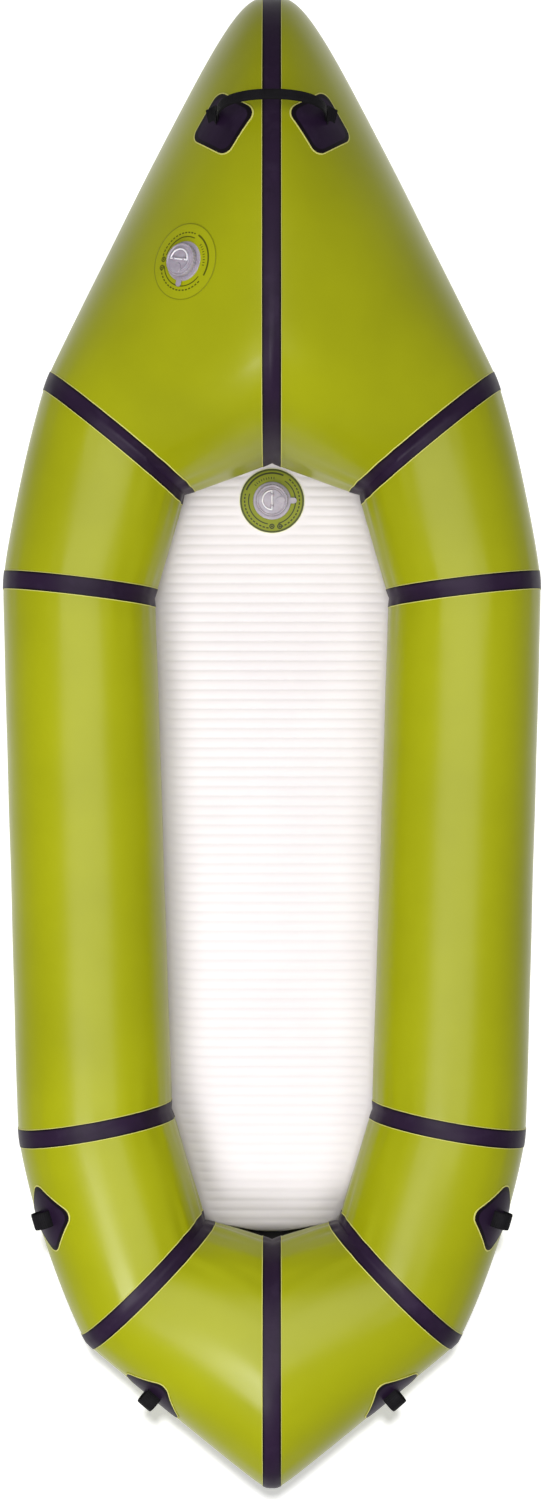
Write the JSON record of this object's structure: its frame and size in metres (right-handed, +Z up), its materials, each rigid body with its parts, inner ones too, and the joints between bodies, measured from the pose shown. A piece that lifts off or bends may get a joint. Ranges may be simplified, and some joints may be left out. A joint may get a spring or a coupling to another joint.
{
  "type": "inflatable kayak",
  "caption": "Solo packraft-style inflatable kayak: a taped fabric air tube round an open cockpit with a ribbed air mat, bow handle, tie-down loops and screw-cap valves.",
  "frame": {"origin": "on the ground under the middle of the overall length and width", "axes": "+Y to the bow, +X to starboard, +Z up"},
  "size_m": [0.8418, 2.3118, 0.4209],
  "materials": {
    "hull_fabric": "satin coated cloth",
    "seam_tape": "satin coated tape",
    "floor_fabric": "matt coated cloth",
    "mat_fabric": "satin coated cloth",
    "mat_inner": "plain cloth",
    "patch_fabric": "satin coated cloth",
    "webbing": "woven",
    "boot_fabric": "satin coated cloth",
    "valve_plastic": "satin",
    "valve_rubber": "matt"
  },
  "bodies": {
    "handle": {"handle_strap": "webbing"},
    "tube_valve_lift": {"tube_valve_gasket": "valve_rubber"},
    "tube_valve_screw": {"tube_valve_cap": "valve_plastic", "tube_valve_thumb_tab": "valve_plastic"},
    "tube_valve_ring": {"tube_valve_bail": "valve_plastic"},
    "tube_valve_door": {"tube_valve_flap": "valve_rubber"},
    "mat_valve_lift": {"mat_valve_gasket": "valve_rubber"},
    "mat_valve_screw": {"mat_valve_cap": "valve_plastic", "mat_valve_thumb_tab": "valve_plastic"},
    "mat_valve_ring": {"mat_valve_bail": "valve_plastic"},
    "mat_valve_door": {"mat_valve_flap": "valve_rubber"},
    "hull": {"floor_sheet": "floor_fabric", "handle_lug_port": "webbing", "handle_lug_starboard": "webbing", "handle_patch_port": "patch_fabric", "handle_patch_starboard": "patch_fabric", "hull_bow_port": "hull_fabric", "hull_bow_starboard": "hull_fabric", "hull_quarter_port": "hull_fabric", "hull_quarter_starboard": "hull_fabric", "hull_shoulder_port": "hull_fabric", "hull_shoulder_starboard": "hull_fabric", "hull_side_port": "hull_fabric", "hull_side_starboard": "hull_fabric", "hull_stern_port": "hull_fabric", "hull_stern_starboard": "hull_fabric", "mat_bottom_skin": "mat_fabric", "mat_inner_webs": "mat_inner", "mat_side_band": "mat_fabric", "mat_top_skin": "mat_fabric", "mat_valve_body": "valve_plastic", "mat_valve_boot": "boot_fabric", "mat_valve_insert": "valve_plastic", "mat_valve_leash": "valve_plastic", "tape_aft_port": "seam_tape", "tape_aft_starboard": "seam_tape", "tape_bow_centre": "seam_tape", "tape_bow_diagonal_port": "seam_tape", "tape_bow_diagonal_starboard": "seam_tape", "tape_fore_port": "seam_tape", "tape_fore_starboard": "seam_tape", "tape_stern_centre": "seam_tape", "tape_stern_diagonal_port": "seam_tape", "tape_stern_diagonal_starboard": "seam_tape", "tie_loop_quarter_port": "webbing", "tie_loop_quarter_starboard": "webbing", "tie_loop_stern_port": "webbing", "tie_loop_stern_starboard": "webbing", "tie_patch_quarter_port": "patch_fabric", "tie_patch_quarter_starboard": "patch_fabric", "tie_patch_stern_port": "patch_fabric", "tie_patch_stern_starboard": "patch_fabric", "tube_valve_body": "valve_plastic", "tube_valve_boot": "boot_fabric", "tube_valve_insert": "valve_plastic", "tube_valve_leash": "valve_plastic"}
  },
  "joints": [
    {"name": "handle_flop", "type": "hinge", "parent": "hull", "child": "handle", "pos_m": [0, 0.934, 0.33925], "axis": [-1, 0, 0], "range_deg": [-35, 50]},
    {"name": "tube_valve_cap_lift", "type": "slide", "parent": "hull", "child": "tube_valve_lift", "axis": [-0.551, 0.1178, 0.8261], "range_m": [0, 0.00451]},
    {"name": "tube_valve_cap_turn", "type": "hinge", "parent": "tube_valve_lift", "child": "tube_valve_screw", "pos_m": [-0.129, 0.714, 0.34909], "axis": [-0.551, 0.1178, 0.8261], "range_deg": [0, 540]},
    {"name": "tube_valve_bail_fold", "type": "hinge", "parent": "tube_valve_screw", "child": "tube_valve_ring", "pos_m": [-0.13721, 0.71576, 0.3614], "axis": [0.8079, -0.1727, 0.5635], "range_deg": [0, 105]},
    {"name": "tube_valve_flap_open", "type": "hinge", "parent": "hull", "child": "tube_valve_door", "pos_m": [-0.14338, 0.71707, 0.34402], "axis": [0.2091, 0.9779, 0], "range_deg": [0, 50], "stiffness_Nm_per_rad": 0.002, "springref_deg": -20.05},
    {"name": "mat_valve_cap_lift", "type": "slide", "parent": "hull", "child": "mat_valve_lift", "axis": [0, 0, 1], "range_m": [0, 0.00451]},
    {"name": "mat_valve_cap_turn", "type": "hinge", "parent": "mat_valve_lift", "child": "mat_valve_screw", "pos_m": [0, 0.384, 0.0513], "axis": [0, 0, 1], "range_deg": [0, 540]},
    {"name": "mat_valve_bail_fold", "type": "hinge", "parent": "mat_valve_screw", "child": "mat_valve_ring", "pos_m": [0, 0.384, 0.0662], "axis": [0, 1, 0], "range_deg": [0, 105]},
    {"name": "mat_valve_flap_open", "type": "hinge", "parent": "hull", "child": "mat_valve_door", "pos_m": [0, 0.369, 0.0554], "axis": [-1, 0, 0], "range_deg": [0, 50], "stiffness_Nm_per_rad": 0.002, "springref_deg": -20.05}
  ],
  "couplings": [
    {"joint": "tube_valve_cap_lift", "follows": "tube_valve_cap_turn", "m_per_rad": 0.00047746},
    {"joint": "mat_valve_cap_lift", "follows": "mat_valve_cap_turn", "m_per_rad": 0.00047746}
  ]
}
